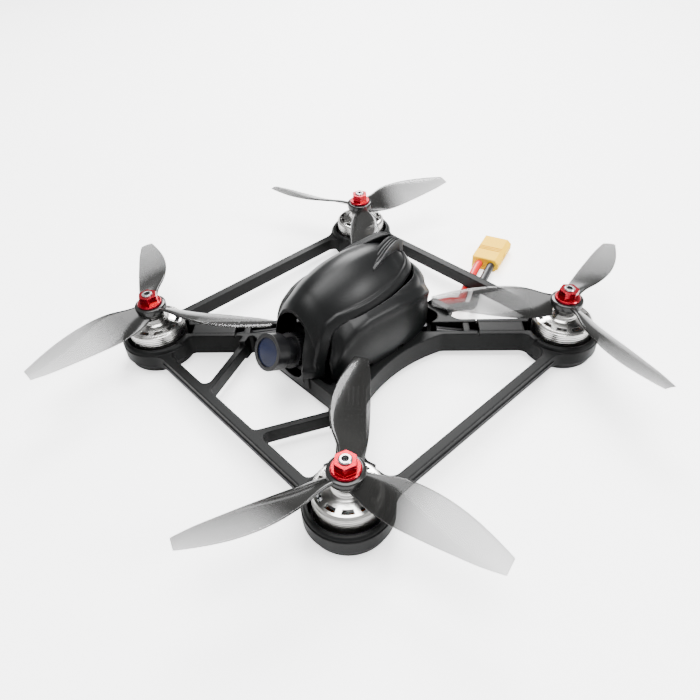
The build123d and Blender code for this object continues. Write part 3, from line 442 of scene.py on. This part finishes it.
def make_propeller(motor):
    """Three blades and a hub, turned to the motor's angle; mirrored where it spins clockwise."""
    blade, blade_uv = blade_grid()
    rows, columns = blade.shape[:2]
    points, faces, uvs, count = [], [], [], 0
    side = grid_faces(rows, columns)
    for turn in range(3):
        angle = turn * 2 * pi / 3
        spin = np.array(((np.cos(angle), np.sin(angle), 0), (-np.sin(angle), np.cos(angle), 0), (0, 0, 1)))
        flat = blade.reshape(-1, 3) @ spin
        tip, root = flat[-columns:].mean(0), flat[:columns].mean(0)
        points.append(np.vstack((flat, tip, root)))
        uvs.append(np.vstack((blade_uv.reshape(-1, 2), (1, 0.5), (0, 0.5))))
        ring = np.arange(columns)
        ahead = (ring + 1) % columns
        last, tip_at, root_at = (rows - 1) * columns, rows * columns, rows * columns + 1
        caps = np.vstack((
            np.stack((last + ring, last + ahead, np.full(columns, tip_at), np.full(columns, tip_at)), -1),
            np.stack((ahead, ring, np.full(columns, root_at), np.full(columns, root_at)), -1),
        ))
        faces.append(np.vstack((side, caps)) + count)
        count += len(points[-1])
    hub = ring_grid(HUB_OUTLINE)
    points.append(hub.reshape(-1, 3))
    uvs.append(np.zeros((hub.shape[0] * hub.shape[1], 2)))
    faces.append(grid_faces(*hub.shape[:2], close_rows=True) + count)
    points, faces, uvs = np.vstack(points), np.vstack(faces), np.vstack(uvs)
    if motor in CLOCKWISE:
        points = points * (1, -1, 1)
        faces = faces[:, ::-1]
    angle = radians(BLADE_ANGLE[motor])
    spin = np.array(((np.cos(angle), np.sin(angle), 0), (-np.sin(angle), np.cos(angle), 0), (0, 0, 1)))
    points = points @ spin + (*MOTOR_PLACE[motor], 0)
    piece = make_piece(f"smoky_propeller_{motor}", points, faces, f"rotor_{motor}",
                       MATERIALS["blade_smoke"], ("blade", uvs))
    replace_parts(piece, f"propeller_{motor}")


for motor in MOTORS:
    make_propeller(motor)

# Canopy and lower shell along the body: y, half width, crest height.
CANOPY_STATIONS = (
    (-42.0, 9.6, 33.0),
    (-39.8, 12.0, 40.0),
    (-36.0, 14.4, 45.6),
    (-28.0, 17.6, 51.4),
    (-14.0, 21.2, 56.2),
    (3.0, 21.6, 57.6),
    (17.0, 20.0, 55.0),
    (27.0, 17.0, 49.0),
    (32.5, 13.0, 40.0),
)
SHELL_STATIONS = (
    (-33.0, 20.0, 32.0),
    (-29.0, 22.8, 38.0),
    (-21.0, 25.4, 43.0),
    (-6.0, 26.4, 46.5),
    (11.0, 26.4, 47.0),
    (24.0, 23.6, 46.0),
    (31.0, 19.6, 42.0),
    (35.0, 15.5, 35.0),
)
# The line on which the two meet, seen from the side: y, height.
PARTING_LINE = ((-34.3, 14.9), (-33.9, 19.0), (-33.3, 24.0), (-31.6, 29.5), (-29.6, 35.0), (-27.0, 39.0),
                (-23.0, 41.0), (-16.0, 41.7), (-4.0, 42.4), (14.0, 43.5), (30.0, 44.5))
SHOULDER_RIDGE = ((-33.0, 20.0), (-30.0, 27.0), (-26.5, 32.5), (-20.0, 36.5), (-12.5, 38.2), (5.0, 37.6),
                  (24.6, 33.9), (35.0, 27.0))
SKIN = 1.4
CANOPY_BEND, SHELL_BEND = (1.7, 4.7), (3.4, 4.0)   # powers of the width and the rise in each section
CANOPY_LOW, SHELL_LOW = 7.7, 14.5
NOSE_HOLE, NOSE_HOLE_HEIGHT = 9.6, 35.4
NOSE_HOLE_FOOT, CHIN_HALF_WIDTH = 20.4, 11.5


def soft_step(value):
    """Smooth rise from 0 to 1 as the value goes from 0 to 1."""
    value = np.clip(value, 0, 1)
    return value * value * (3 - 2 * value)


def arch(y, lean, stations, low, bend, inset=0.0):
    """Point of a squarish arch over the body at y, from a lean of 0 at the foot to pi/2 on top.

    Half width and crest come from the stations. In each section the share of the width raised
    to one power and the share of the rise raised to another add up to one.
    """
    half_width, crest = smooth_through(stations, y).T - inset
    across = np.cos(lean).clip(0) ** (2 / bend[0])
    up = np.sin(lean).clip(0) ** (2 / bend[1])
    return np.stack((half_width * across, y, low + (crest - low) * up), -1)


def lean_at_height(y, height, stations, low, bend):
    """The arch's lean where it passes the given height, or pi/2 where it stays below."""
    crest = smooth_through(stations, y)[:, 1]
    share = np.clip((height - low) / (crest - low), 0, 1)
    return np.arcsin(share ** (bend[1] / 2))


def lean_at_nose_hole(y):
    """The canopy's angle where its section first meets the upright oval hole in the nose."""
    leans = np.linspace(0.01, pi / 2, 600)
    grid_y, grid_lean = np.meshgrid(y, leans, indexing="ij")
    spots = arch(grid_y.ravel(), grid_lean.ravel(), CANOPY_STATIONS, CANOPY_LOW, CANOPY_BEND)
    spots = spots.reshape(len(y), -1, 3)
    over = np.clip(spots[..., 2] - NOSE_HOLE_HEIGHT, 0, None)
    inside = np.hypot(spots[..., 0], over) < NOSE_HOLE
    return np.where(inside.any(1), leans[inside.argmax(1)], pi / 2)


def lift(points, height):
    """Moves each point of a grid along the surface's outward normal by its height."""
    lengthwise, upwards = np.gradient(points, axis=0), np.gradient(points, axis=1)
    normal = np.cross(upwards, lengthwise)
    normal /= np.linalg.norm(normal, axis=-1, keepdims=True) + 1e-9
    outward = np.sign((normal * (points - (0, 0, 20.0))).sum(-1).mean())
    return points + outward * normal * height[..., None]


def skin_faces(rows, columns, open_rows):
    """Faces of one half of a skin: outside, inside, and rims along the foot, both ends and,
    for the first open rows, the upper edge. The rest of the upper edge meets the other half."""
    size = rows * columns
    outer = grid_faces(rows, columns, close_columns=False)
    inner = outer[:, ::-1] + size

    def rim(edge):
        return np.stack((edge[:-1], edge[1:], edge[1:] + size, edge[:-1] + size), -1)

    index = np.arange(size).reshape(rows, columns)
    rims = [rim(index[:, 0])[:, ::-1], rim(index[0]), rim(index[-1])[:, ::-1]]
    if open_rows > 1:
        rims.append(rim(index[:open_rows, -1]))
    return np.vstack([outer, inner, *rims])


def tidy_normals(piece):
    """Joins the points that meet, turns every face outwards and keeps sharp edges sharp."""
    work = bmesh.new()
    work.from_mesh(piece.data)
    bmesh.ops.remove_doubles(work, verts=work.verts, dist=1e-6)
    bmesh.ops.recalc_face_normals(work, faces=work.faces)
    work.to_mesh(piece.data)
    work.free()
    piece.data.set_sharp_from_angle(angle=radians(42))


def make_skin(name, outer, inner, open_rows, slot):
    """Both halves of a symmetric skin from one half's outer and inner grids, joined at x = 0."""
    rows, columns = outer.shape[:2]
    half = np.vstack((outer.reshape(-1, 3), inner.reshape(-1, 3)))
    faces = skin_faces(rows, columns, open_rows)
    points = np.vstack((half, half * (-1, 1, 1)))
    faces = np.vstack((faces, faces[:, ::-1] + len(half)))
    piece = make_piece(name, points, faces, "airframe", MATERIALS[slot])
    tidy_normals(piece)
    return piece


def make_canopy():
    """The canopy: a squarish arch with a soft crease beside its crest and a raised band that
    follows the line where it meets the lower shell. The nose is open round the lens."""
    top = -36.55
    nose = -42.0 + (top + 42.0) * (1 - (1 - np.linspace(0, 1, 44)) ** 2)
    rows_y = np.concatenate((nose, np.linspace(top, 29.6, 150)[1:]))
    foot = np.where(rows_y < -34.3, 14.9, np.interp(rows_y, *np.transpose(PARTING_LINE)))
    low = lean_at_height(rows_y, foot, CANOPY_STATIONS, CANOPY_LOW, CANOPY_BEND)
    high = np.where(rows_y < top - 1e-6, lean_at_nose_hole(rows_y), pi / 2)
    share = np.linspace(0, 1, 64) ** 1.35
    lean = low[:, None] + (high - low)[:, None] * share
    y = np.broadcast_to(rows_y[:, None], lean.shape)
    shape = (*lean.shape, 3)
    flat = y.ravel(), lean.ravel(), CANOPY_STATIONS, CANOPY_LOW, CANOPY_BEND
    outer, inner = arch(*flat).reshape(shape), arch(*flat, SKIN).reshape(shape)
    in_hole = rows_y < top - 1e-6
    inner[in_hole, :, 0] += (outer - inner)[in_hole, -1:, 0] * share**3
    edge = outer[:, 0]
    gap = np.linalg.norm(outer.reshape(-1, 1, 3) - edge[None], axis=-1).min(1).reshape(lean.shape)
    band = 1.0 * soft_step((5.4 - gap) / 1.1) - 0.75 * np.clip(1 - gap / 0.9, 0, 1) ** 2
    outer = lift(outer, band)
    for grid in (outer, inner):
        beside = grid[..., 0] - 4.4
        grid[..., 2] -= 0.085 * (beside + np.sqrt(beside**2 + 0.35)) * soft_step((y + 42) / 14)
        grid[y[:, -1] > top - 1e-6, -1, 0] = 0.0
    piece = make_skin("canopy_skin", outer, inner, int((rows_y < top - 1e-6).sum()) + 1, "cover_plastic")
    return piece


def make_lower_shell():
    """The fairing under the canopy: a squarish arch cut off along the meeting line, with a
    rounded ridge along its shoulder, a hollow above the ridge and two notches in its foot."""
    notch = np.array([edge + side for edge in (-18.0, -14.0, 2.0, 6.0) for side in (-0.02, 0.02)])
    rows_y = np.sort(np.concatenate((np.linspace(-33.0, 20.0, 100), notch, np.linspace(20.0, 35.0, 60)[1:])))
    line = np.interp(rows_y, *np.transpose(PARTING_LINE)) - 0.5
    high = lean_at_height(rows_y, line, SHELL_STATIONS, SHELL_LOW, SHELL_BEND)
    closed = rows_y > 29.0
    high = np.where(closed, pi / 2, np.minimum(high, pi / 2 - 0.05))
    in_notch = (np.abs(rows_y + 16) < 2) | (np.abs(rows_y - 4) < 2)
    foot = np.where(in_notch, 16.5, SHELL_LOW)
    low = lean_at_height(rows_y, foot, SHELL_STATIONS, SHELL_LOW, SHELL_BEND)
    share = np.linspace(0, 1, 60)
    lean = low[:, None] + (high - low)[:, None] * share
    y = np.broadcast_to(rows_y[:, None], lean.shape)
    shape = (*lean.shape, 3)
    flat = y.ravel(), lean.ravel(), SHELL_STATIONS, SHELL_LOW, SHELL_BEND
    outer, inner = arch(*flat).reshape(shape), arch(*flat, SKIN).reshape(shape)
    over = outer[..., 2] - np.interp(rows_y, *np.transpose(SHOULDER_RIDGE))[:, None]
    side = soft_step(outer[..., 0] / 10)
    ridge = side * (0.9 * np.exp(-((over / 2.4) ** 2)) - 0.7 * np.exp(-(((over - 4.6) / 2.0) ** 2)))
    fade = soft_step((35 - y) / 4) * soft_step((y + 33) / 3)
    outer = lift(outer, ridge * fade)
    # the flat tail: the last sections shrink to the middle of the foot
    tail = [(0, 0, SHELL_LOW) + (grid[-1] - (0, 0, SHELL_LOW)) * (scale, 1, scale)
            for grid in (outer, inner) for scale in (0.66, 0.33, 0.0)]
    outer = np.concatenate((outer, np.array(tail[:3])))
    inner = np.concatenate((inner, np.array(tail[3:]) - (0, SKIN, 0)))
    for grid in (outer, inner):
        grid[len(rows_y) - int(closed.sum()):, -1, 0] = 0.0
    return make_skin("lower_shell_skin", outer, inner, int((~closed).sum()) + 1, "cover_plastic")


def make_chin():
    """Closes the nose under the lens: an upright plate, rounded back at its ends, whose top edge
    is the lower half of the nose hole's circle."""
    across = np.linspace(-CHIN_HALF_WIDTH, CHIN_HALF_WIDTH, 97)
    over = np.sqrt(np.clip(NOSE_HOLE**2 - across**2, 0, None))
    top = np.clip(NOSE_HOLE_FOOT - over, None, 16.2)
    rounding = 1.3 * np.clip((np.abs(across) - 8.0) / (CHIN_HALF_WIDTH - 8.0), 0, 1) ** 2
    share = np.linspace(0, 1, 14)[:, None]
    height = CANOPY_LOW + (top - CANOPY_LOW) * share
    tuck = 0.5 * (1 - share) ** 3

    def sheet(y):
        return np.stack(np.broadcast_arrays(across, y, height), -1)

    outer, inner = sheet(-42.0 + rounding + tuck), sheet(np.full_like(across, -40.5))
    loop = np.concatenate((outer, inner[::-1]))
    rows, columns = loop.shape[:2]
    faces = grid_faces(rows, columns, close_rows=True, close_columns=False)
    index = np.arange(rows * columns).reshape(rows, columns)
    half = rows // 2
    ends = []
    for column, flip in ((0, 1), (columns - 1, -1)):
        front, back = index[:half, column], index[::-1][:half, column]
        ends.append(np.stack((front[:-1], front[1:], back[1:], back[:-1]), -1)[:, ::flip])
    piece = make_piece("nose_chin", loop, np.vstack((faces, *ends)), "airframe",
                       MATERIALS["cover_plastic"])
    tidy_normals(piece)
    return piece


# The tail vent's two arms: they run in from the canopy's shoulders and rise to the rear.
VENT_LINE = ((8.6, 3.0, 54.6), (7.6, 8.0, 55.6), (5.8, 14.0, 56.8), (4.2, 20.0, 57.4), (3.2, 25.0, 56.8),
             (2.7, 28.6, 54.4))


def make_vent():
    """Two ribbed arms in a V. Across each arm the height is a row of round ribs under a flat
    taper; along it the arm rises out of the canopy and ends in an upright rear edge."""
    share = np.linspace(0, 1, 60)
    line = smooth_through([(i / 5, *spot) for i, spot in enumerate(VENT_LINE)], share)
    across = np.linspace(-1, 1, 61)
    rib = 0.55 * np.abs(np.sin(across * 2 * pi)) ** 0.5
    rise = soft_step(share / 0.35)[:, None] * (1 - np.abs(across) ** 8)
    width = (2.9 - 0.6 * share)[:, None]
    top = np.stack((
        line[:, :1] + width * across,
        np.broadcast_to(line[:, 1:2], (60, 61)) - 0.8 * np.abs(across),
        line[:, 2:] - 0.9 * (1 + across) * (1 - share[:, None]) + (rib - 0.9) * rise,
    ), -1)
    under = top - (0, 0, 1) * (3.0 + 5.0 * share[:, None, None] ** 2)
    size = top.shape[0] * top.shape[1]
    faces = grid_faces(60, 61, close_columns=False)
    index = np.arange(size).reshape(60, 61)
    rims = []
    for edge, flip in ((index[:, 0], 1), (index[:, -1], -1), (index[0], -1), (index[-1], 1)):
        rims.append(np.stack((edge[:-1], edge[1:], edge[1:] + size, edge[:-1] + size), -1)[:, ::flip])
    half = np.vstack((top.reshape(-1, 3), under.reshape(-1, 3)))
    faces = np.vstack((faces, faces[:, ::-1] + size, *rims))
    points = np.vstack((half, half * (-1, 1, 1)))
    faces = np.vstack((faces, faces[:, ::-1] + len(half)))
    piece = make_piece("ribbed_vent", points, faces, "airframe", MATERIALS["cover_plastic"])
    tidy_normals(piece)
    return piece


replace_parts(make_canopy(), "canopy")
make_chin()
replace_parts(make_vent(), "tail_vent")
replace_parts(make_lower_shell(), "lower_shell")


# ---- floor and light ----------------------------------------------------------------------
def make_stage():
    """A white floor that runs out of view, a bright even sky and three soft lights."""
    size = 6.0
    mesh = bpy.data.meshes.new("floor")
    mesh.from_pydata([(-size, -size, 0), (size, -size, 0), (size, size, 0), (-size, size, 0)], [], [(0, 1, 2, 3)])
    floor = bpy.data.objects.new("floor", mesh)
    bpy.context.scene.collection.objects.link(floor)
    paint = bpy.data.materials.new("floor_paint")
    paint.use_nodes = True
    shader = paint.node_tree.nodes["Principled BSDF"]
    shader.inputs["Base Color"].default_value = (0.96, 0.96, 0.96, 1)
    shader.inputs["Roughness"].default_value = 0.55
    shader.inputs["Emission Color"].default_value = (1, 1, 1, 1)
    sight = paint.node_tree.nodes.new("ShaderNodeLightPath")
    glow = math_node(paint.node_tree, "MULTIPLY", sight.outputs["Is Camera Ray"], FLOOR_GLOW)
    paint.node_tree.links.new(glow, shader.inputs["Emission Strength"])
    floor.data.materials.append(paint)
    world = bpy.data.worlds.new("studio")
    world.use_nodes = True
    world.node_tree.nodes["Background"].inputs["Color"].default_value = (1, 1, 1, 1)
    world.node_tree.nodes["Background"].inputs["Strength"].default_value = SKY_STRENGTH
    bpy.context.scene.world = world
    for name, place, width, power in (
        ("key", (-0.75, 0.75, 0.95), 0.6, 40),
        ("side", (0.95, 0.45, 0.75), 0.4, 16),
        ("top", (0.0, 0.0, 1.3), 1.0, 46),
    ):
        lamp = bpy.data.lights.new(name, "AREA")
        lamp.size, lamp.energy = width, power
        light = bpy.data.objects.new(name, lamp)
        bpy.context.scene.collection.objects.link(light)
        light.location = place
        light.rotation_euler = (-Vector(place)).to_track_quat("-Z", "Y").to_euler()


make_stage()

bpy.context.view_layer.update()
